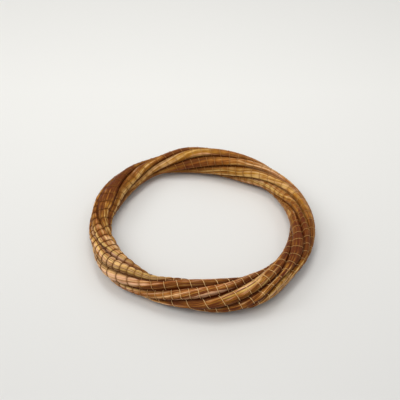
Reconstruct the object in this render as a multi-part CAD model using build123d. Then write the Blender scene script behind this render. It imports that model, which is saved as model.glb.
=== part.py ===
from build123d import *
import os
from collections import namedtuple
from math import cos, exp, hypot, pi, radians, sin, sqrt

# A bracelet of golden grass. Bundles of fine stems are laid round each other like the
# strands of a rope, and the rope is closed into a ring. Each strand is a closed ring of
# its own, linked with the others, so that nothing else is needed to hold them together.
#
# Millimetres, +Z up. The ring lies on a surface at z = 0, with the middle of its outline
# over the origin. Angles round the ring start at +X and run anticlockwise from above.
# Angles round the rope start at its outer side and run over its top to the inner side.

# Driving sizes
opening_width = 64.2        # clear width inside the ring, along X
opening_depth = 65.8        # clear depth inside the ring, along Y
opening_turn = 4.0          # degrees that the oval opening is turned, anticlockwise
strand_diameter = 3.05      # of one bound bundle of stems
strand_gap = 0.12           # between two neighbouring strands
strand_count = 6
turns = 2                   # times that the strands turn round the rope in one lap
lay_start = -69.0           # degrees round the rope of the first gap, at 0 degrees

# A strand with more room spreads and flattens, by this power of its share of the round
flattening = 0.35

# Each strand is an oval that is pressed flat against its two neighbours
fullness = 1.25             # width of the oval, as a share of one that just touches them
sharpness = 12              # of the edges where the oval turns into the flats

# Share of a swelling that lifts the middle of the rope, the rest going down under it
lift = 0.6

# Facets of each solid, round the strand and along it
sides = 12
stations = 96

# The rope is laid by hand, so it isn't even. The rows are spaced evenly round the ring,
# the first at 0 degrees.
#   lead    degrees that the strands run ahead of an even lay
#   swell   size of the rope, as a share of the even one
#   outset  how far the rope stands outward, as a share of strand_diameter
Section = namedtuple("Section", "lead swell outset")
sections = [
    Section(lead=19, swell=1.03, outset=0.10),
    Section(lead=19, swell=0.96, outset=0.05),
    Section(lead=22, swell=0.94, outset=-0.05),
    Section(lead=20, swell=1.14, outset=-0.50),
    Section(lead=15, swell=1.19, outset=-0.45),
    Section(lead=10, swell=1.10, outset=0.00),
    Section(lead=10, swell=0.80, outset=0.40),
    Section(lead=11, swell=0.99, outset=0.15),
    Section(lead=-4, swell=1.02, outset=0.05),
    Section(lead=-28, swell=0.88, outset=0.15),
    Section(lead=-31, swell=0.91, outset=0.10),
    Section(lead=-39, swell=1.09, outset=0.10),
    Section(lead=-31, swell=0.90, outset=-0.25),
    Section(lead=-21, swell=1.07, outset=-0.55),
    Section(lead=-18, swell=1.20, outset=-0.15),
    Section(lead=0, swell=1.12, outset=0.25),
    Section(lead=2, swell=0.95, outset=-0.05),
    Section(lead=8, swell=0.98, outset=0.05),
]

# Places where strands crowd to one side, so that one is narrow and its neighbour wide
#   gap     number of the gap between two strands that is shifted, from 0
#   at      degrees round the ring of the middle of the place
#   over    degrees round the ring from there to where the shift fades
#   shift   degrees round the rope that the gap moves ahead
Crowd = namedtuple("Crowd", "gap at over shift")
crowds = [
    Crowd(gap=0, at=65, over=10, shift=11),
    Crowd(gap=0, at=292, over=10, shift=-18),
    Crowd(gap=1, at=130, over=8, shift=10),
    Crowd(gap=2, at=168, over=8, shift=8),
    Crowd(gap=2, at=316, over=10, shift=-11),
    Crowd(gap=3, at=6, over=9, shift=-9),
    Crowd(gap=3, at=168, over=9, shift=-19),
    Crowd(gap=3, at=203, over=8, shift=27),
    Crowd(gap=3, at=306, over=8, shift=27),
    Crowd(gap=3, at=330, over=10, shift=-17),
    Crowd(gap=4, at=358, over=9, shift=12),
]

# Sizes that follow
strand_radius = strand_diameter / 2
lay_radius = (strand_diameter + strand_gap) / 2 / sin(pi / strand_count)
rope_radius = lay_radius + strand_radius
mean_radius = (opening_width + opening_depth) / 4 + rope_radius
oval_reach = (opening_depth - opening_width) / 4
even_share = 360 / strand_count


def around(column, angle):
    """The value of a column of sections at an angle, on a smooth closed curve."""
    values = [getattr(section, column) for section in sections]
    count = len(values)
    place = angle / 360 * count
    row = int(place)
    t = place - row
    before, start, end, after = (values[(row + step) % count] for step in (-1, 0, 1, 2))
    slope_in = (end - before) / 2
    slope_out = (after - start) / 2
    rise = end - start
    bend = 3 * rise - 2 * slope_in - slope_out
    ease = slope_in + slope_out - 2 * rise
    return start + t * (slope_in + t * (bend + t * ease))


def gap_angle(gap, angle):
    """Degrees round the rope of the gap between two strands."""
    lay = lay_start + turns * angle + around("lead", angle) - even_share * gap
    for crowd in crowds:
        if crowd.gap == gap % strand_count:
            away = (angle - crowd.at + 180) % 360 - 180
            lay += crowd.shift * exp(-((away / crowd.over) ** 2) / 2)
    return lay


def strand_section(strand, angle):
    """The corners of one strand's section at an angle round the ring.

    In each direction from the strand's middle, a corner lies at the oval or at the flat, softly
    at the nearer one. The flats lie along the strand's two gaps, half of strand_gap from them.
    """
    swell = around("swell", angle)
    ahead = gap_angle(strand, angle)
    behind = gap_angle(strand + 1, angle)
    middle = radians((ahead + behind) / 2)
    reach = radians((ahead - behind) / 2)
    out = lay_radius * swell
    half_height = strand_radius * swell * ((ahead - behind) / even_share) ** -flattening
    room = out * sin(reach) - strand_gap / 2
    touching = sqrt(room**2 - (half_height * sin(reach)) ** 2) / cos(reach)
    half_width = fullness * touching

    oval = oval_reach * cos(2 * radians(angle - opening_turn))
    ring_radius = mean_radius - oval + around("outset", angle) * strand_diameter
    ring_height = rope_radius * (1 + lift * (swell - 1))
    corners = []
    for side in range(sides):
        turn = 2 * pi * side / sides
        to_oval = 1 / hypot(cos(turn) / half_height, sin(turn) / half_width)
        facing_flat = max(0, abs(sin(turn)) * cos(reach) - cos(turn) * sin(reach))
        size = (to_oval**-sharpness + (facing_flat / room) ** sharpness) ** (-1 / sharpness)
        along = out + size * cos(turn)
        across = size * sin(turn)
        radius = ring_radius + along * cos(middle) - across * sin(middle)
        height = ring_height + along * sin(middle) + across * cos(middle)
        corners.append(Vector(radius * cos(radians(angle)), radius * sin(radians(angle)), height))
    return corners


def strand_solid(rings):
    """The closed solid through a strand's sections, in triangles."""
    faces = []
    for here, there in zip(rings, rings[1:] + rings[:1]):
        for side in range(sides):
            after = (side + 1) % sides
            faces.append(Face(Wire.make_polygon([here[side], here[after], there[after]])))
            faces.append(Face(Wire.make_polygon([here[side], there[after], there[side]])))
    return Solid(Shell(faces))


def laid_flat(strands):
    """The strands' corners, moved so that the bracelet lies on z = 0 with its middle at 0."""
    corners = [corner for rings in strands for ring in rings for corner in ring]
    middle_x = (min(c.X for c in corners) + max(c.X for c in corners)) / 2
    middle_y = (min(c.Y for c in corners) + max(c.Y for c in corners)) / 2
    seat = Vector(middle_x, middle_y, min(c.Z for c in corners))
    return [[[corner - seat for corner in ring] for ring in rings] for rings in strands]


angles = [360 * station / stations for station in range(stations)]
strands = [[strand_section(strand, angle) for angle in angles] for strand in range(strand_count)]

os.makedirs("parts", exist_ok=True)
for number, rings in enumerate(laid_flat(strands), start=1):
    export_step(strand_solid(rings), f"parts/grass_strand_{number}.step")

print(f"rope diameter {2 * rope_radius:.2f}, ring radius {mean_radius:.2f}")
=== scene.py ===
import bpy
import numpy as np
from mathutils import Matrix, Vector


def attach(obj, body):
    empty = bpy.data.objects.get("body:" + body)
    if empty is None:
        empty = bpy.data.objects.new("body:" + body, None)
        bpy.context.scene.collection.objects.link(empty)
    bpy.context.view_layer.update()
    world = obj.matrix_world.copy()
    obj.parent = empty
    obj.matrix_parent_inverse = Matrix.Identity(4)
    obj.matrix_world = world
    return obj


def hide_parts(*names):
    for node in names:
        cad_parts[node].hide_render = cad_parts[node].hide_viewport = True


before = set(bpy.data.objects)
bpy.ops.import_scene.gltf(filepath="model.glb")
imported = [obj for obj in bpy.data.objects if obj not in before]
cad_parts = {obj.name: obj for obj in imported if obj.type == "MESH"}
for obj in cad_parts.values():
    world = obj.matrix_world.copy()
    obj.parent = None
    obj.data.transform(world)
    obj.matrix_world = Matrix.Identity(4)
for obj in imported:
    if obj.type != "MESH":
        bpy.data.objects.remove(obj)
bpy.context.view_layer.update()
scene = bpy.context.scene
mm = 0.001
print("frame loaded, nodes:", len(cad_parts))

# The rope: six strands laid round each other and closed into a ring. Here and for the thread and
# the stems below, lengths are in millimetres and angles in degrees, ring angles run from +X
# anticlockwise as seen from above, and a column has one value for every 20 degrees of the ring.
rope = {
    "openingWidth": 64.2,
    "openingDepth": 65.8,
    "openingTurn": 4.0,
    "strandDiameter": 3.05,
    "strandGap": 0.12,
    "strandCount": 6,
    "turns": 2,           # times that the strands turn round the rope in one lap
    "layStart": -69.0,    # angle round the rope of the first gap, from the outer side over the top
    "flattening": 0.35,   # power by which a strand with more room spreads and flattens
    "fullness": 1.25,     # width of a strand's oval, as a share of one that just fits its room
    "sharpness": 12,      # of the edges where the oval turns into the flats
    "lift": 0.6,          # share of a swelling that lifts the rope's middle
    "stations": 96,       # facets of a strand's solid along it
    "sides": 12,          # and round it
    # how far the strands run ahead of an even lay, in degrees round the rope
    "lead": [19, 19, 22, 20, 15, 10, 10, 11, -4, -28, -31, -39, -31, -21, -18, 0, 2, 8],
    # size of the rope, as a share of the even one
    "swell": [1.03, 0.96, 0.94, 1.14, 1.19, 1.10, 0.80, 0.99, 1.02,
              0.88, 0.91, 1.09, 0.90, 1.07, 1.20, 1.12, 0.95, 0.98],
    # how far the rope stands outward, as a share of strandDiameter
    "outset": [0.10, 0.05, -0.05, -0.50, -0.45, 0.00, 0.40, 0.15, 0.05,
               0.15, 0.10, 0.10, -0.25, -0.55, -0.15, 0.25, -0.05, 0.05],
    # places where strands crowd to one side: which gap, at which ring angle, over how many
    # degrees it fades, and how far the gap shifts round the rope
    "crowds": [
        {"gap": 0, "at": 65, "over": 10, "shift": 11},
        {"gap": 0, "at": 292, "over": 10, "shift": -18},
        {"gap": 1, "at": 130, "over": 8, "shift": 10},
        {"gap": 2, "at": 168, "over": 8, "shift": 8},
        {"gap": 2, "at": 316, "over": 10, "shift": -11},
        {"gap": 3, "at": 6, "over": 9, "shift": -9},
        {"gap": 3, "at": 168, "over": 9, "shift": -19},
        {"gap": 3, "at": 203, "over": 8, "shift": 27},
        {"gap": 3, "at": 306, "over": 8, "shift": 27},
        {"gap": 3, "at": 330, "over": 10, "shift": -17},
        {"gap": 4, "at": 358, "over": 9, "shift": 12},
    ],
}
strandRadius = rope["strandDiameter"] / 2
layRadius = (rope["strandDiameter"] + rope["strandGap"]) / 2 / np.sin(np.pi / rope["strandCount"])
ropeRadius = layRadius + strandRadius
meanRadius = (rope["openingWidth"] + rope["openingDepth"]) / 4 + ropeRadius
ovalReach = (rope["openingDepth"] - rope["openingWidth"]) / 4
evenShare = 360 / rope["strandCount"]


def aroundRing(column, angle):
    # a closed smooth curve through the values of a column: a cubic between each two rows,
    # whose slope at a row is half the step from the row before to the row after
    values = np.asarray(column, float)
    place = np.asarray(angle, float) % 360 / 360 * len(values)
    row = np.floor(place).astype(int)
    t = place - row
    before, start, end, after = (values[(row + step) % len(values)] for step in (-1, 0, 1, 2))
    slopeIn, slopeOut, rise = (end - before) / 2, (after - start) / 2, end - start
    bend, ease = 3 * rise - 2 * slopeIn - slopeOut, slopeIn + slopeOut - 2 * rise
    return start + t * (slopeIn + t * (bend + t * ease))


def bell(angle, spot):
    # one at the spot's ring angle, falling off on both sides as the exponential of minus half
    # the square of the distance over the spot's reach
    away = (angle - spot["at"] + 180) % 360 - 180
    return np.exp(-((away / spot["over"]) ** 2) / 2)


def gapAngle(gap, angle):
    # the even lay, plus the lead of the place, less a share for each gap, plus a bell-shaped
    # shift where strands crowd to one side
    lay = rope["layStart"] + rope["turns"] * angle + aroundRing(rope["lead"], angle) - evenShare * gap
    for crowd in rope["crowds"]:
        if crowd["gap"] == gap % rope["strandCount"]:
            lay = lay + crowd["shift"] * bell(angle, crowd)
    return lay


def facingFlat(strand, angle, turn):
    # how far a direction from the strand's middle faces one of its two flats: the sine of the
    # angle between that direction and the flat, nought where it faces away
    reach = np.radians((gapAngle(strand, angle) - gapAngle(strand + 1, angle)) / 2)
    return np.maximum(0, np.abs(np.sin(turn)) * np.cos(reach) - np.cos(turn) * np.sin(reach))


def onStrand(strand, angle, turn, off):
    # in each direction from the strand's middle, a point of its oval or of the flat where it is
    # pressed on its neighbour, softly the nearer one, pushed outwards by off. The strand is turned
    # round the rope's middle, which goes round the ring at the mean radius, less the oval of the
    # opening, plus the outset of the place, and rises a little where the rope swells.
    swell = aroundRing(rope["swell"], angle)
    ahead, behind = gapAngle(strand, angle), gapAngle(strand + 1, angle)
    middle, reach = np.radians((ahead + behind) / 2), np.radians((ahead - behind) / 2)
    out = layRadius * swell
    halfHeight = strandRadius * swell * ((ahead - behind) / evenShare) ** -rope["flattening"]
    room = out * np.sin(reach) - rope["strandGap"] / 2
    halfWidth = rope["fullness"] * np.sqrt(room**2 - (halfHeight * np.sin(reach)) ** 2) / np.cos(reach)
    toOval = np.hypot(np.cos(turn) / halfHeight, np.sin(turn) / halfWidth)
    toFlat = facingFlat(strand, angle, turn) / room
    size = (toOval ** rope["sharpness"] + toFlat ** rope["sharpness"]) ** (-1 / rope["sharpness"])
    oval = ovalReach * np.cos(2 * np.radians(angle - rope["openingTurn"]))
    ringRadius = meanRadius - oval + aroundRing(rope["outset"], angle) * rope["strandDiameter"]
    ringHeight = ropeRadius * (1 + rope["lift"] * (swell - 1))
    along = out + (size + off) * np.cos(turn)
    across = (size + off) * np.sin(turn)
    radius = ringRadius + along * np.cos(middle) - across * np.sin(middle)
    height = ringHeight + along * np.sin(middle) + across * np.cos(middle)
    ring = np.radians(angle)
    return np.stack([radius * np.cos(ring), radius * np.sin(ring), height], -1)


# The ring lies on z = 0 with the middle of its outline over the origin, measured on the
# corners of the strands' solids
cornerAngle = np.linspace(0, 360, rope["stations"], endpoint=False)[:, None]
cornerTurn = np.linspace(0, 2 * np.pi, rope["sides"], endpoint=False)[None, :]
corners = np.concatenate([onStrand(k, cornerAngle, cornerTurn, 0.0).reshape(-1, 3)
                          for k in range(rope["strandCount"])])
low, high = corners.min(0), corners.max(0)
seat = np.array([(low[0] + high[0]) / 2, (low[1] + high[1]) / 2, low[2]])
print("rope worked out, size in mm:", (high - low).round(2))


def smoothNoise(rng, count, angle, waves):
    # closed wavy curves, one for each of count things: a sum of sines round the ring with random
    # phases and heights, with a mean of nought and a spread of about one
    waves = np.asarray(waves)
    phase = rng.uniform(0, 2 * np.pi, (count, len(waves)))
    size = rng.normal(0, 1, (count, len(waves)))
    turns = np.radians(angle)[..., None, None] * waves + phase
    return (np.sin(turns) * size).sum(-1) * np.sqrt(2 / len(waves))


def smoothStep(value, start, end):
    # nought below start and one above end, easing in and out between them
    t = np.clip((value - start) / (end - start), 0, 1)
    return t * t * (3 - 2 * t)


def meshPiece(name, points, faces, material, values, uv):
    # a smooth mesh: points go from millimetres to metres, faces are quads, values hold one
    # number for each point, and uv has a pair for each corner of each face
    mesh = bpy.data.meshes.new(name)
    mesh.vertices.add(len(points))
    mesh.vertices.foreach_set("co", (points * mm).astype(np.float32).ravel())
    mesh.loops.add(faces.size)
    mesh.loops.foreach_set("vertex_index", faces.astype(np.int32).ravel())
    mesh.polygons.add(len(faces))
    mesh.polygons.foreach_set("loop_start", np.arange(len(faces), dtype=np.int32) * 4)
    mesh.polygons.foreach_set("use_smooth", np.ones(len(faces), bool))
    for key, value in values.items():
        column = mesh.attributes.new(key, "FLOAT", "POINT").data
        column.foreach_set("value", value.astype(np.float32).ravel())
    mesh.uv_layers.new(name="along").data.foreach_set("uv", uv.astype(np.float32).ravel())
    mesh.update(calc_edges=True)
    mesh.validate()
    mesh.materials.append(material)
    piece = bpy.data.objects.new(name, mesh)
    scene.collection.objects.link(piece)
    return piece


def closedGrid(rows, columns, rowShift):
    # quads of a grid that closes both ways, where the last column joins the first one
    # rowShift rows further on
    row = np.arange(rows)[:, None] + np.zeros((1, columns), int)
    column = np.arange(columns)[None, :] + np.zeros((rows, 1), int)
    nextRow = row + np.where(column == columns - 1, rowShift, 0)
    corners = [(row, column), (row + 1, column), (nextRow + 1, column + 1), (nextRow, column + 1)]
    return np.stack([(r % rows) * columns + c % columns for r, c in corners], -1).reshape(-1, 4)


def unbroken(value, lap):
    # the corners of each face within half a lap of its first corner, so that no face spans
    # the seam
    return value - lap * np.round((value - value[:, :1]) / lap)


# The binding thread goes round each strand in an open helix
thread = {
    "radius": 0.09,
    "seating": 0.85,      # share of its radius by which its middle stands above the stems
    "pinch": 0.15,        # depth by which it draws the stems in
    "pinchWidth": 0.45,   # distance along the strand over which it does so
    "bulge": 0.05,        # height of the stems halfway between two rounds
    "segments": 24,       # of one round
    "sides": 6,           # of the tube
    "rounds": [70, 63, 63, 73, 72, 64],   # in one lap of the ring, for each strand
    # rounds that it runs ahead of an even pitch, a column for each strand
    "ahead": [
        [0.4, -0.2, -0.8, -1.4, -1.9, -2.3, -2.6, -2.75, -2.7,
         -2.5, -2.0, -1.25, -0.2, 0.9, 1.6, 1.95, 1.45, 0.95],
        [0.2, 0.25, 0.45, 0.7, 1.05, 1.35, 1.7, 2.0, 2.2,
         2.35, 2.35, 2.25, 1.9, 1.35, 0.5, 0.4, 0.6, 0.3],
        [0.5, 0.8, 1.05, 1.25, 1.4, 1.5, 1.45, 1.35, 1.05,
         0.65, 0.05, -0.3, -0.4, -0.35, -0.1, 0.25, 0.05, 0.2],
        [0.4, 1.05, 1.3, 1.3, 1.1, 0.8, 0.4, -0.05, -0.4,
         -0.65, -0.7, -0.65, -0.6, -0.7, -0.8, -0.8, -0.7, -0.3],
        [0.9, 0.55, 0.25, -0.2, -0.7, -1.15, -1.55, -1.85, -1.95,
         -1.85, -1.5, -0.8, 0.3, 1.0, 1.35, 1.5, 1.45, 1.2],
        [0.35, 0.45, 0.6, 0.85, 1.1, 1.35, 1.6, 1.85, 2.05,
         2.2, 2.25, 2.25, 2.1, 1.75, 1.15, 0.75, 0.5, 0.4],
    ],
    # painted glint and shade along the ring: dark where the thread lies in shade, golden where it
    # catches the light
    "glint": [0.6, 0.6, 0.55, 0.55, 0.55, 0.55, 0.5, 0.4, 0.2,
              0.1, 0.0, 0.05, 0.6, 1.0, 1.0, 0.95, 0.75, 0.65],
    # how tight it is, as a share of pinch and bulge
    "tight": [0.8, 0.6, 0.5, 0.4, 0.4, 0.4, 0.4, 0.6, 1.0,
              1.4, 1.6, 1.5, 1.2, 0.9, 0.9, 0.9, 0.9, 0.9],
}
fineStep = 0.1            # degrees between the rows of a table of rounds
fineAngle = np.linspace(0, 360, round(360 / fineStep) + 1)


def threadRounds(strand):
    # rounds that the thread has gone at each ring angle: an even share of the angle, plus the
    # rounds it is ahead there. Also gives the rounds of the whole lap.
    even = thread["rounds"][strand] * fineAngle / 360
    return even + aroundRing(thread["ahead"][strand], fineAngle), thread["rounds"][strand]


def angleAtRounds(rounds, table, whole):
    # the ring angle at which the thread has gone so many rounds
    laps = np.floor((rounds - table[0]) / whole)
    return np.interp(rounds - laps * whole, table, fineAngle) + 360 * laps


def roundsAtAngle(angle, table, whole):
    # the table of rounds read at an angle, with a whole lap's rounds added for each lap
    laps = np.floor(angle / 360)
    return np.interp(angle - 360 * laps, fineAngle, table) + whole * laps


def nearThread(angle, turn, table, whole):
    # two shares: a bell over the distance along the strand to the thread's nearest round, and
    # a squared sine that is one halfway between two rounds
    away = roundsAtAngle(angle, table, whole) + (turn - np.pi) / (2 * np.pi)
    away = np.abs(away - np.round(away))
    degreesApart = np.interp(angle % 360, fineAngle[:-1], fineStep / np.diff(table))
    apart = np.radians(degreesApart) * meanRadius
    return np.exp(-((away * apart / thread["pinchWidth"]) ** 2)), np.sin(np.pi * away) ** 2


# The stems that show round each strand. A spread is how much the stems differ from one another,
# and its waves say how many times that goes up and down in one lap of the ring.
stems = {
    "count": 19,
    "seed": 40,           # of the random draws, plus the strand's number
    "depth": 0.75,        # height of a stem's round back, as a share of a half circle's
    "backFullness": 0.96, # how near its back comes to that half circle at its edges
    "widthSpread": 0.30,
    "widthWaves": [3, 5, 8, 13],
    "heightSpread": 0.03,
    "heightWaves": [4, 7, 11, 18],
    "heightDrop": 1.2,    # spreads that the stems lie lower by, so that none stands out
    "slant": 0.35,        # how far the stems wander round the strand, in radians
    "slantWaves": [1, 2, 3, 5],
    "press": 0.09,        # how far the stems stand over the flats, a little into the neighbour
    # how far a direction faces a flat, from nought to one, where the press, the valley between two
    # strands and the valley's painted shade begin and where they are whole
    "pressed": (0.80, 0.97),
    "sinking": (0.15, 0.80),
    "shading": (0.35, 0.90),
    "underside": 0.55,    # painted shade on a strand's outer or lower side, as a share of the valley's
    "undersideShading": (0.15, 0.85),    # sines of the turn where it begins and is whole
    "partingMiddle": 0.35,    # painted shade between two stems
    "parting": 0.9,           # how much it differs
    "partingMost": 1.4,       # and the most that it may be
    "partingWaves": [3, 5, 9, 14],
    "toneMiddle": 0.5,    # of a tone from dark at nought to light at one
    "toneSpread": 0.30,   # from stem to stem
    "toneDrift": 0.12,    # along each stem
    "toneDriftWaves": [2, 3, 6, 9],
    "toneRipple": 0.06,   # along the whole strand
    "toneRippleWaves": [23, 37, 53, 71],
    "toneFlat": 0.2,      # share of the tone's spread that stays where there is no relief
    "warmthDrift": 0.25,  # along each stem
    "warmthDriftWaves": [1, 2, 4, 7],
    # the grid's columns across a stem, from edge to edge, and its rows from round to round
    "across": [-1.0, -0.72, -0.32, 0.0, 0.32, 0.72],
    "rows": [0.0, 0.05, 0.11, 0.22, 0.40, 0.60, 0.78, 0.89, 0.95],
    # depth of the valleys between strands
    "valley": [0.13, 0.11, 0.11, 0.13, 0.15, 0.13, 0.11, 0.11, 0.12,
               0.12, 0.12, 0.14, 0.18, 0.20, 0.20, 0.20, 0.17, 0.14],
    # painted shade in the valleys
    "shade": [0.7, 0.6, 0.6, 0.8, 0.9, 0.85, 0.75, 0.7, 0.7,
              0.65, 0.6, 0.7, 0.95, 1.0, 1.0, 1.0, 0.9, 0.8],
    # painted shade on the stems under the thread
    "seam": [0.20, 0.20, 0.20, 0.20, 0.20, 0.20, 0.25, 0.3, 0.4,
             0.6, 0.7, 0.6, 0.4, 0.15, 0.15, 0.15, 0.2, 0.2],
    # how strongly the single stems show
    "relief": [0.7, 0.65, 0.65, 0.65, 0.65, 0.65, 0.65, 0.7, 0.8,
               1.0, 1.2, 1.25, 1.2, 1.1, 1.1, 1.1, 1.0, 0.85],
    # lighter above nought and darker below it: partly the grass's own colour, partly painted sheen
    "tone": [-0.07, 0.02, 0.01, -0.04, -0.18, -0.22, 0.0, -0.18, -0.16,
             -0.14, 0.22, 0.45, -0.03, -0.13, -0.10, -0.07, -0.21, -0.42],
    # redder above nought and yellower below it
    "warmth": [-0.1, -0.15, -0.15, -0.3, -0.25, -0.2, -0.2, -0.2, -0.15,
               -0.15, 0.0, 0.0, 0.05, 0.12, 0.15, 0.1, 0.0, -0.1],
}
# Places where a strand is lighter or darker (tone) and redder or yellower (warmth) than it is on the
# whole: partly the grass's own colour, partly painted sheen and highlights
patches = [
    {"strand": 0, "at": 95, "over": 12, "tone": 0.42, "warmth": -0.7},
    {"strand": 0, "at": 135, "over": 16, "tone": 0.18, "warmth": -0.2},
    {"strand": 0, "at": 255, "over": 8, "tone": 0.22, "warmth": -0.2},
    {"strand": 0, "at": 288, "over": 6, "tone": 0.18, "warmth": 0.0},
    {"strand": 1, "at": 112, "over": 8, "tone": -0.38, "warmth": 0.2},
    {"strand": 1, "at": 145, "over": 16, "tone": 0.26, "warmth": -0.1},
    {"strand": 1, "at": 267, "over": 7, "tone": -0.28, "warmth": 0.3},
    {"strand": 1, "at": 297, "over": 9, "tone": 0.28, "warmth": -0.4},
    {"strand": 2, "at": 146, "over": 16, "tone": -0.42, "warmth": -0.2},
    {"strand": 2, "at": 186, "over": 9, "tone": 0.20, "warmth": -0.3},
    {"strand": 2, "at": 276, "over": 5, "tone": 0.30, "warmth": -0.2},
    {"strand": 2, "at": 290, "over": 7, "tone": -0.20, "warmth": 0.2},
    {"strand": 2, "at": 311, "over": 8, "tone": 0.14, "warmth": -0.3},
    {"strand": 2, "at": 335, "over": 12, "tone": -0.15, "warmth": 0.0},
    {"strand": 3, "at": 47, "over": 16, "tone": 0.30, "warmth": 0.0},
    {"strand": 3, "at": 190, "over": 14, "tone": 0.08, "warmth": 0.0},
    {"strand": 3, "at": 315, "over": 13, "tone": 0.46, "warmth": -0.5},
    {"strand": 3, "at": 347, "over": 12, "tone": -0.20, "warmth": 0.0},
    {"strand": 4, "at": 45, "over": 18, "tone": 0.15, "warmth": -0.1},
    {"strand": 4, "at": 82, "over": 14, "tone": 0.26, "warmth": -0.4},
    {"strand": 4, "at": 220, "over": 8, "tone": -0.10, "warmth": 0.25},
    {"strand": 4, "at": 238, "over": 10, "tone": 0.56, "warmth": -0.4},
    {"strand": 4, "at": 338, "over": 10, "tone": 0.12, "warmth": -0.2},
    {"strand": 5, "at": 47, "over": 10, "tone": 0.20, "warmth": -0.1},
    {"strand": 5, "at": 100, "over": 12, "tone": -0.18, "warmth": 0.1},
    {"strand": 5, "at": 231, "over": 6, "tone": 0.34, "warmth": 0.2},
    {"strand": 5, "at": 248, "over": 5, "tone": -0.14, "warmth": 0.2},
]
# Places where two strands lie close, and by which share the valley between them closes
closePlaces = [
    {"gap": 0, "at": 52, "over": 9, "share": 0.7},
    {"gap": 1, "at": 95, "over": 10, "share": 0.5},
    {"gap": 5, "at": 125, "over": 12, "share": 0.6},
    {"gap": 3, "at": 150, "over": 9, "share": 0.5},
    {"gap": 2, "at": 172, "over": 9, "share": 0.6},
    {"gap": 4, "at": 190, "over": 12, "share": 0.4},
    {"gap": 3, "at": 312, "over": 10, "share": 0.65},
    {"gap": 4, "at": 340, "over": 10, "share": 0.6},
]
uvUnit = 10.0             # millimetres of a strand for one unit of its uv
ringLap = 2 * np.pi * meanRadius / uvUnit
strandLap = np.pi * rope["strandDiameter"] / uvUnit


def openness(strand, angle, turn):
    # one beside an open valley between two strands, less where they lie close: a bell-shaped dip
    # for each close place, taken from the gap on the direction's own side
    ahead, behind = 1.0, 1.0
    for place in closePlaces:
        dip = place["share"] * bell(angle, place)
        if place["gap"] == strand:
            ahead = ahead - dip
        if place["gap"] == (strand + 1) % rope["strandCount"]:
            behind = behind - dip
    return np.where(np.sin(turn) > 0, ahead, behind)


def pressed(strand, angle, turn, off):
    # off, less the depth of the valley between two strands, and changed to a light press on the
    # neighbour where the direction faces a flat
    facing = facingFlat(strand, angle, turn)
    near = smoothStep(facing, *stems["pressed"])
    valley = aroundRing(stems["valley"], angle) * openness(strand, angle, turn)
    sunk = off - valley * smoothStep(facing, *stems["sinking"])
    return sunk * (1 - near) + stems["press"] * near


def shadeInCreases(strand, angle, turn):
    # painted shade towards the valleys and, less so, over the side that lies nearer to the outside:
    # the greater of the two, each easing in with the direction, times the shade of the place
    shade = aroundRing(stems["shade"], angle) * openness(strand, angle, turn)
    valley = smoothStep(facingFlat(strand, angle, turn), *stems["shading"])
    outer = stems["underside"] * smoothStep(-np.sin(turn), *stems["undersideShading"])
    return shade * np.maximum(valley, outer)


def patched(kind, strand, angle):
    # the sum of a strand's patches of tone or warmth, each a bell round its ring angle
    return sum(patch[kind] * bell(angle, patch) for patch in patches if patch["strand"] == strand)


def stemEdges(rng, angle):
    # where the stems' edges lie, as shares of the way round the strand: each stem's width wanders
    # by itself, as the exponential of a wavy curve, and the widths are added up and scaled to one
    wander = smoothNoise(rng, stems["count"], angle, stems["widthWaves"])
    edge = np.cumsum(np.exp(stems["widthSpread"] * wander), -1)
    whole = edge[..., -1:]
    return np.concatenate([np.zeros_like(whole), edge], -1) / whole


def stemTone(rng, strand, angle, column, stem, relief):
    # the middle tone, plus each stem's own level that drifts along it and is weaker where there
    # is less relief, plus the ring's column, a fine ripple and the strand's patches
    level = rng.uniform(-1, 1, stems["count"])[stem] * stems["toneSpread"]
    drift = smoothNoise(rng, stems["count"], angle, stems["toneDriftWaves"])[:, column, stem]
    level = level + stems["toneDrift"] * drift
    strength = stems["toneFlat"] + (1 - stems["toneFlat"]) * relief
    ripple = smoothNoise(rng, 1, angle, stems["toneRippleWaves"])[..., 0]
    tone = stems["toneMiddle"] + level * strength + aroundRing(stems["tone"], angle)
    tone = tone + stems["toneRipple"] * ripple + patched("tone", strand, angle)
    return np.clip(tone, 0, 1)


def stemWarmth(rng, strand, angle, column, stem):
    # each stem's own warmth, which drifts along it, plus the ring's column and the patches
    warmth = rng.uniform(0, 1, stems["count"])[stem]
    drift = smoothNoise(rng, stems["count"], angle, stems["warmthDriftWaves"])[:, column, stem]
    warmth = warmth + stems["warmthDrift"] * drift + aroundRing(stems["warmth"], angle)
    return np.clip(warmth + patched("warmth", strand, angle), 0, 1)


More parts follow.
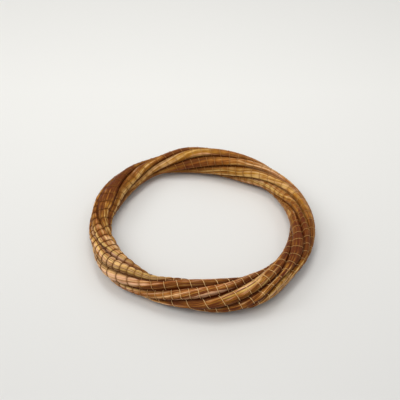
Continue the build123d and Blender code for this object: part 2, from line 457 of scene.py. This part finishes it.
def strandPiece(strand, material):
    # The grid's columns run along the stems and its rows along the thread, so that the thread's
    # grooves are as sharp as the ones between stems. Each stem is an arc round the bundle, each
    # has its own width and height, and all are drawn in under the thread.
    rng = np.random.default_rng(stems["seed"] + strand)
    table, whole = threadRounds(strand)
    count = stems["count"]
    across = np.array(stems["across"])
    rounds = (np.arange(whole)[:, None] + np.array(stems["rows"])[None, :]).reshape(-1, 1)
    evenTurn = ((np.arange(count)[:, None] + (across[None, :] + 1) / 2) / count).reshape(1, -1)
    angle = angleAtRounds(rounds - evenTurn, table, whole)
    rows, columns = angle.shape
    column = np.arange(columns)
    stem = np.repeat(np.arange(count), len(across))
    inStem = np.broadcast_to((across + 1) / 2, (count, len(across))).reshape(-1)

    edge = stemEdges(rng, angle)
    slant = stems["slant"] * smoothNoise(rng, 1, angle, stems["slantWaves"])[..., 0]
    start = edge[:, column, stem]
    width = edge[:, column, stem + 1] - start
    turn = np.pi + 2 * np.pi * (start + width * inStem) + slant
    height = smoothNoise(rng, count, angle, stems["heightWaves"])[:, column, stem]
    parting = stems["parting"] * smoothNoise(rng, count, angle, stems["partingWaves"])
    parting = np.clip(stems["partingMiddle"] + parting, 0, stems["partingMost"])
    parting = parting[:, column, np.where(inStem > 0.5, (stem + 1) % count, stem)]

    profile = 2 * inStem - 1
    arc = np.sqrt(1 - stems["backFullness"] * profile**2) - 1
    stemRadius = width * np.pi * rope["strandDiameter"] / 2
    pull, between = nearThread(angle, turn, table, whole)
    tight = aroundRing(thread["tight"], angle)
    relief = aroundRing(stems["relief"], angle)
    back = stems["heightSpread"] * (height - stems["heightDrop"]) + stems["depth"] * stemRadius * arc
    off = relief * back - thread["pinch"] * tight * pull + thread["bulge"] * tight * between
    points = onStrand(strand, angle, turn, pressed(strand, angle, turn, off)) - seat

    betweenStems = np.clip(np.abs(profile)[None, :] ** 2 * relief * parting, 0, 1)
    values = {
        "tone": stemTone(rng, strand, angle, column, stem, relief),
        "warmth": stemWarmth(rng, strand, angle, column, stem),
        # painted shade between the stems and under the thread
        "grooveShade": np.maximum(betweenStems, pull**2 * aroundRing(stems["seam"], angle)),
        "relief": relief,
        # painted shade in the valleys between strands and on their outer sides
        "creaseShade": shadeInCreases(strand, angle, turn),
    }
    faces = closedGrid(rows, columns, -len(stems["rows"]))
    length = (angle / 360 * ringLap).reshape(-1)
    around = ((start + width * inStem) * strandLap).reshape(-1)
    uv = np.stack([unbroken(length[faces], ringLap), unbroken(around[faces], strandLap)], -1)
    return meshPiece(f"stems_{strand + 1}", points.reshape(-1, 3), faces, material, values, uv)


def threadPiece(strand, material):
    # a round tube along the helix that the rounds of the thread give, drawn in with the stems.
    # Each section is a circle square to the line, from its outward direction round by sideways.
    table, whole = threadRounds(strand)
    sides = thread["sides"]
    count = whole * thread["segments"]
    rounds = table[0] + np.arange(count) / thread["segments"]
    angle = angleAtRounds(rounds, table, whole)
    turn = np.pi - 2 * np.pi * rounds
    depth = thread["pinch"] * aroundRing(thread["tight"], angle)
    off = pressed(strand, angle, turn, thread["radius"] * thread["seating"] - depth)
    line = onStrand(strand, angle, turn, off)
    outward = onStrand(strand, angle, turn, off + thread["radius"]) - line
    forward = np.roll(line, -1, 0) - np.roll(line, 1, 0)
    forward /= np.linalg.norm(forward, axis=-1, keepdims=True)
    outward -= (outward * forward).sum(-1, keepdims=True) * forward
    outward /= np.linalg.norm(outward, axis=-1, keepdims=True)
    sideways = np.cross(forward, outward)
    bend = 2 * np.pi * np.arange(sides)[None, :, None] / sides
    ring = np.cos(bend) * outward[:, None, :] + np.sin(bend) * sideways[:, None, :]
    points = line[:, None, :] + thread["radius"] * ring - seat
    faces = closedGrid(count, sides, 0)[:, ::-1]   # turned round, to point outwards
    uv = np.stack([unbroken(faces // sides, count) / thread["segments"],
                   unbroken(faces % sides, sides) / sides], -1)
    # painted glint and shade along the ring
    values = {"glint": aroundRing(thread["glint"], angle)[:, None] + np.zeros((1, sides))}
    return meshPiece(f"thread_{strand + 1}", points.reshape(-1, 3), faces, material, values, uv)


# Dry grass: two runs of colour from dark to light, the yellow one and the red one, and the colours of
# the painted shade between stems and between strands
grassLook = {
    "yellow": [(0.13, 0.026, 0.001), (0.43, 0.183, 0.015), (0.86, 0.56, 0.18)],
    "red": [(0.10, 0.010, 0.001), (0.40, 0.126, 0.018), (0.86, 0.51, 0.30)],
    "grooveShade": (0.120, 0.023, 0.001),
    "creaseShade": (0.080, 0.012, 0.001),
    "streakScale": 1.3,      # along the stems
    "streakStretch": 24.0,   # times finer across them
    "streakDetail": 3,       # finer layers of the noise
    "streakRoughness": 0.6,  # strength of each layer, as a share of the one before
    "streakTone": 1.6,       # how far they lighten and darken the tone
    "roughness": (0.32, 0.52),    # of the smoothest and the roughest streak
    "specular": 0.3,
    "specularTint": (1.0, 0.74, 0.42),
    "bump": 0.35,
    "bumpDepth": 0.05,       # millimetres
}
# Twisted thread, from painted shade to a painted golden glint
threadLook = {
    "colors": [(0.11, 0.028, 0.002), (0.40, 0.18, 0.045), (0.90, 0.60, 0.27)],
    "metallic": 0.40,        # where the painted glint is whole
    "roughness": (0.60, 0.30),
    "specular": 0.2,
    "specularTint": (1.0, 0.62, 0.30),
    "plies": 2,              # stripes that lie side by side round it
    "twists": 14,            # stripes that pass along it in one round
    "bump": 0.5,
    "bumpDepth": 0.03,       # millimetres
}


def newMaterial(name):
    # a material that has its own shader, and its node tree
    material = bpy.data.materials.new(name)
    material.use_nodes = True
    return material, material.node_tree


def newGroup(name, inputs, outputs):
    # a shader node group whose sockets are given as (name, type) pairs
    tree = bpy.data.node_groups.new(name, "ShaderNodeTree")
    for label, kind in inputs:
        tree.interface.new_socket(label, in_out="INPUT", socket_type=kind)
    for label, kind in outputs:
        tree.interface.new_socket(label, in_out="OUTPUT", socket_type=kind)
    return tree, tree.nodes.new("NodeGroupInput"), tree.nodes.new("NodeGroupOutput")


def useGroup(tree, group):
    # the group as one node of another tree
    node = tree.nodes.new("ShaderNodeGroup")
    node.node_tree = group
    return node


def mixColors(tree, factor, first, second):
    # first where factor is nought and second where it is one; each is a socket or a colour
    mix = tree.nodes.new("ShaderNodeMix")
    mix.data_type = "RGBA"
    for label, value in (("A", first), ("B", second)):
        socket = next(s for s in mix.inputs if s.name == label and s.type == "RGBA")
        if isinstance(value, tuple):
            socket.default_value = (*value, 1)
        else:
            tree.links.new(value, socket)
    tree.links.new(factor, mix.inputs[0])
    return next(s for s in mix.outputs if s.type == "RGBA")


def colorRun(tree, factor, colors):
    # evenly spaced colours from dark to light
    ramp = tree.nodes.new("ShaderNodeValToRGB")
    elements = ramp.color_ramp.elements
    while len(elements) < len(colors):
        elements.new(0.5)
    for step, color in enumerate(colors):
        elements[step].position = step / (len(colors) - 1)
        elements[step].color = (*color, 1)
    tree.links.new(factor, ramp.inputs[0])
    return ramp.outputs["Color"]


def mathNode(tree, operation, first, second, clamp=False):
    # one step of arithmetic on first and second, each a socket or a number, whose result is kept
    # between nought and one where clamp is set
    node = tree.nodes.new("ShaderNodeMath")
    node.operation = operation
    node.use_clamp = clamp
    for place, value in enumerate((first, second)):
        if isinstance(value, (int, float)):
            node.inputs[place].default_value = value
        else:
            tree.links.new(value, node.inputs[place])
    return node.outputs[0]


def fromTo(tree, share, start, end):
    # start where share is nought and end where it is one: share times their difference, plus start
    return mathNode(tree, "ADD", mathNode(tree, "MULTIPLY", share, end - start), start)


def attribute(tree, name):
    # one of the numbers that a mesh carries for each of its points
    node = tree.nodes.new("ShaderNodeAttribute")
    node.attribute_name = name
    return node.outputs["Fac"]


def alongUv(tree):
    # the place along and round a strand or a thread
    node = tree.nodes.new("ShaderNodeUVMap")
    node.uv_map = "along"
    return node.outputs["UV"]


def addBump(tree, height, look):
    # a height in the shader's normal, as strong and as deep as the look says
    bump = tree.nodes.new("ShaderNodeBump")
    bump.inputs["Strength"].default_value = look["bump"]
    bump.inputs["Distance"].default_value = look["bumpDepth"] * mm
    tree.links.new(height, bump.inputs["Height"])
    tree.links.new(bump.outputs["Normal"], tree.nodes["Principled BSDF"].inputs["Normal"])


def streakGroup():
    # noise drawn out along the stems: its coordinates are finer across them than along them
    tree, given, result = newGroup("fine_streaks",
                                   [("Vector", "NodeSocketVector"), ("Scale", "NodeSocketFloat"),
                                    ("Stretch", "NodeSocketFloat")],
                                   [("Value", "NodeSocketFloat")])
    parts = tree.nodes.new("ShaderNodeSeparateXYZ")
    tree.links.new(given.outputs["Vector"], parts.inputs[0])
    finer = mathNode(tree, "MULTIPLY", parts.outputs["Y"], given.outputs["Stretch"])
    joined = tree.nodes.new("ShaderNodeCombineXYZ")
    tree.links.new(parts.outputs["X"], joined.inputs["X"])
    tree.links.new(finer, joined.inputs["Y"])
    noise = tree.nodes.new("ShaderNodeTexNoise")
    noise.inputs["Detail"].default_value = grassLook["streakDetail"]
    noise.inputs["Roughness"].default_value = grassLook["streakRoughness"]
    tree.links.new(joined.outputs[0], noise.inputs["Vector"])
    tree.links.new(given.outputs["Scale"], noise.inputs["Scale"])
    tree.links.new(noise.outputs["Fac"], result.inputs["Value"])
    return tree


def grassColorGroup():
    # the yellow and the red run of colours, read by tone and mixed by warmth, then darkened by painted
    # shade between the stems and between the strands
    labels = ("Tone", "Warmth", "GrooveShade", "CreaseShade")
    tree, given, result = newGroup("grass_color", [(label, "NodeSocketFloat") for label in labels],
                                   [("Color", "NodeSocketColor")])
    yellow = colorRun(tree, given.outputs["Tone"], grassLook["yellow"])
    red = colorRun(tree, given.outputs["Tone"], grassLook["red"])
    color = mixColors(tree, given.outputs["Warmth"], yellow, red)
    color = mixColors(tree, given.outputs["GrooveShade"], color, grassLook["grooveShade"])
    color = mixColors(tree, given.outputs["CreaseShade"], color, grassLook["creaseShade"])
    tree.links.new(color, result.inputs["Color"])
    return tree


def twistGroup():
    # stripes that wind round the thread: a sine of the twists along it plus the plies round it,
    # moved to between nought and one
    tree, given, result = newGroup("thread_twist",
                                   [("Vector", "NodeSocketVector"), ("Twists", "NodeSocketFloat"),
                                    ("Plies", "NodeSocketFloat")],
                                   [("Value", "NodeSocketFloat")])
    parts = tree.nodes.new("ShaderNodeSeparateXYZ")
    tree.links.new(given.outputs["Vector"], parts.inputs[0])
    along = mathNode(tree, "MULTIPLY", parts.outputs["X"], given.outputs["Twists"])
    around = mathNode(tree, "MULTIPLY", parts.outputs["Y"], given.outputs["Plies"])
    turns = mathNode(tree, "MULTIPLY", mathNode(tree, "ADD", along, around), 2 * np.pi)
    wave = mathNode(tree, "SINE", turns, 0.0)
    stripes = mathNode(tree, "MULTIPLY", mathNode(tree, "ADD", wave, 1.0), 0.5)
    tree.links.new(stripes, result.inputs["Value"])
    return tree


def stemMaterial():
    # grass: its tone is the stem's own plus the streaks, which are counted from the noise's middle
    # and are as strong as the relief, and rough streaks lie beside smooth ones
    material, tree = newMaterial("golden_grass")
    shader = tree.nodes["Principled BSDF"]
    streaks = useGroup(tree, streakGroup())
    streaks.inputs["Scale"].default_value = grassLook["streakScale"]
    streaks.inputs["Stretch"].default_value = grassLook["streakStretch"]
    tree.links.new(alongUv(tree), streaks.inputs["Vector"])
    streak = mathNode(tree, "SUBTRACT", streaks.outputs["Value"], 0.5)
    streak = mathNode(tree, "MULTIPLY", streak, attribute(tree, "relief"))
    streak = mathNode(tree, "MULTIPLY", streak, grassLook["streakTone"])
    color = useGroup(tree, grassColorGroup())
    tone = mathNode(tree, "ADD", attribute(tree, "tone"), streak, True)
    tree.links.new(tone, color.inputs["Tone"])
    tree.links.new(attribute(tree, "warmth"), color.inputs["Warmth"])
    tree.links.new(attribute(tree, "grooveShade"), color.inputs["GrooveShade"])
    tree.links.new(attribute(tree, "creaseShade"), color.inputs["CreaseShade"])
    tree.links.new(color.outputs["Color"], shader.inputs["Base Color"])
    roughness = fromTo(tree, streaks.outputs["Value"], *grassLook["roughness"])
    tree.links.new(roughness, shader.inputs["Roughness"])
    shader.inputs["Specular IOR Level"].default_value = grassLook["specular"]
    shader.inputs["Specular Tint"].default_value = (*grassLook["specularTint"], 1)
    addBump(tree, streaks.outputs["Value"], grassLook)
    return material


def threadMaterial():
    # thread: colour, metal and gloss follow its painted glint, from dark in shade to golden where lit,
    # and its twist is a bump
    material, tree = newMaterial("gold_thread")
    shader = tree.nodes["Principled BSDF"]
    glint = attribute(tree, "glint")
    tree.links.new(colorRun(tree, glint, threadLook["colors"]), shader.inputs["Base Color"])
    metallic = mathNode(tree, "MULTIPLY", glint, threadLook["metallic"])
    tree.links.new(metallic, shader.inputs["Metallic"])
    roughness = fromTo(tree, glint, *threadLook["roughness"])
    tree.links.new(roughness, shader.inputs["Roughness"])
    shader.inputs["Specular IOR Level"].default_value = threadLook["specular"]
    shader.inputs["Specular Tint"].default_value = (*threadLook["specularTint"], 1)
    twist = useGroup(tree, twistGroup())
    twist.inputs["Twists"].default_value = threadLook["twists"]
    twist.inputs["Plies"].default_value = threadLook["plies"]
    tree.links.new(alongUv(tree), twist.inputs["Vector"])
    addBump(tree, twist.outputs["Value"], threadLook)
    return material


grass = stemMaterial()
gold = threadMaterial()
print("materials made")
for k in range(rope["strandCount"]):
    bundle = strandPiece(k, grass)
    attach(bundle, "root")
    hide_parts(f"grass_strand_{k + 1}")
    wrap = threadPiece(k, gold)
    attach(wrap, "root")
    print("strand", k + 1, "faces", len(bundle.data.polygons), "and", len(wrap.data.polygons))

# The pale table, with painted shade that makes it a little darker towards the front
tableLook = {
    "size": 6.0,             # metres
    "near": (0.725, 0.725, 0.715),
    "far": (0.86, 0.86, 0.84),
    "span": (-70.0, 100.0),  # millimetres from front to back over which the colour changes
    "roughness": 0.5,
}


def tableTop():
    # a square round the origin at z = 0, its two colours mixed by the distance backwards; the darker
    # near one is painted shade
    half = tableLook["size"] / 2
    mesh = bpy.data.meshes.new("table")
    corners = [(-half, -half, 0), (half, -half, 0), (half, half, 0), (-half, half, 0)]
    mesh.from_pydata(corners, [], [(0, 1, 2, 3)])
    material, tree = newMaterial("table_top")
    shader = tree.nodes["Principled BSDF"]
    parts = tree.nodes.new("ShaderNodeSeparateXYZ")
    tree.links.new(tree.nodes.new("ShaderNodeTexCoord").outputs["Object"], parts.inputs[0])
    backwards = tree.nodes.new("ShaderNodeMapRange")
    backwards.inputs["From Min"].default_value = tableLook["span"][0] * mm
    backwards.inputs["From Max"].default_value = tableLook["span"][1] * mm
    tree.links.new(parts.outputs["Y"], backwards.inputs["Value"])
    color = mixColors(tree, backwards.outputs[0], tableLook["near"], tableLook["far"])
    tree.links.new(color, shader.inputs["Base Color"])
    shader.inputs["Roughness"].default_value = tableLook["roughness"]
    mesh.materials.append(material)
    top = bpy.data.objects.new("table", mesh)
    scene.collection.objects.link(top)
    return top


floor = tableTop()

# The sky is brightest nearly straight up, on the window's side, and darkest the other way
sky = {
    "bright": (1.0, 0.985, 0.955),
    "dark": (0.93, 0.96, 1.0),
    "strength": (0.40, 0.62),
    "towards": (-0.35, 0.10, 0.93),
    "span": (-0.3, 1.0),     # cosines of the angle from there where it is darkest and brightest
}


def paintSky():
    # colour and strength go from dark to bright with the cosine between the direction looked
    # in and the brightest one
    world = bpy.data.worlds.new("sky")
    world.use_nodes = True
    tree = world.node_tree
    background = tree.nodes["Background"]
    cosine = tree.nodes.new("ShaderNodeVectorMath")
    cosine.operation = "DOT_PRODUCT"
    cosine.inputs[1].default_value = Vector(sky["towards"]).normalized()
    direction = tree.nodes.new("ShaderNodeTexCoord").outputs["Generated"]
    tree.links.new(direction, cosine.inputs[0])
    share = tree.nodes.new("ShaderNodeMapRange")
    share.interpolation_type = "SMOOTHSTEP"
    share.inputs["From Min"].default_value, share.inputs["From Max"].default_value = sky["span"]
    tree.links.new(cosine.outputs["Value"], share.inputs["Value"])
    color = mixColors(tree, share.outputs[0], sky["dark"], sky["bright"])
    tree.links.new(color, background.inputs["Color"])
    strength = fromTo(tree, share.outputs[0], *sky["strength"])
    tree.links.new(strength, background.inputs["Strength"])
    scene.world = world


paintSky()

# Square lamps that face the origin: place and size in metres, power in watts
lamps = [
    {"name": "window", "at": (-0.766, 0.0, 0.643), "size": 0.4, "power": 2.0,
     "color": (1.0, 0.985, 0.96)},
    {"name": "open_door", "at": (-0.354, -0.354, 0.866), "size": 0.4, "power": 1.9,
     "color": (1.0, 0.99, 0.97)},
    {"name": "skylight", "at": (0.56, 0.24, 0.79), "size": 0.20, "power": 0.5,
     "color": (1.0, 0.985, 0.96)},
    {"name": "ceiling_lamp", "at": (0.0, 0.06, 0.30), "size": 0.12, "power": 0.20,
     "color": (1.0, 0.985, 0.96)},
]
for lamp in lamps:
    light = bpy.data.lights.new(lamp["name"], "AREA")
    light.size = lamp["size"]
    light.energy = lamp["power"]
    light.color = lamp["color"]
    lightObject = bpy.data.objects.new(lamp["name"], light)
    place = Vector(lamp["at"])
    turned = (-place).to_track_quat("-Z", "Y").to_matrix().to_4x4()
    lightObject.matrix_world = Matrix.Translation(place) @ turned
    scene.collection.objects.link(lightObject)
print("table, sky and", len(lamps), "lamps set")

# The camera looks at its target from in front and above
camera = {
    "elevation": 40.582,     # degrees
    "distance": 269.26,      # millimetres, as the target is
    "target": (-0.857, 12.881, 4.5),
    "roll": 0.0085,          # radians
    "lens": 63.0,            # millimetres, as the sensor's width is
    "sensor": 36.0,
    "clipStart": 0.01,       # metres
}


def setCamera():
    # back points from the target to the eye at the elevation, right and up are square to it, and
    # both are turned by the roll
    elevation = np.radians(camera["elevation"])
    back = Vector((0, -np.cos(elevation), np.sin(elevation)))
    right = Vector((1, 0, 0))
    up = back.cross(right)
    rolledRight = right * np.cos(camera["roll"]) + up * np.sin(camera["roll"])
    rolledUp = up * np.cos(camera["roll"]) - right * np.sin(camera["roll"])
    eye = (Vector(camera["target"]) + back * camera["distance"]) * mm
    lens = bpy.data.cameras.new("camera")
    lens.lens = camera["lens"]
    lens.sensor_width = camera["sensor"]
    lens.clip_start = camera["clipStart"]
    cameraObject = bpy.data.objects.new("camera", lens)
    turned = Matrix((rolledRight, rolledUp, back)).transposed().to_4x4()
    cameraObject.matrix_world = Matrix.Translation(eye) @ turned
    scene.collection.objects.link(cameraObject)
    scene.camera = cameraObject


setCamera()
scene.view_settings.view_transform = "Standard"
print("camera set")
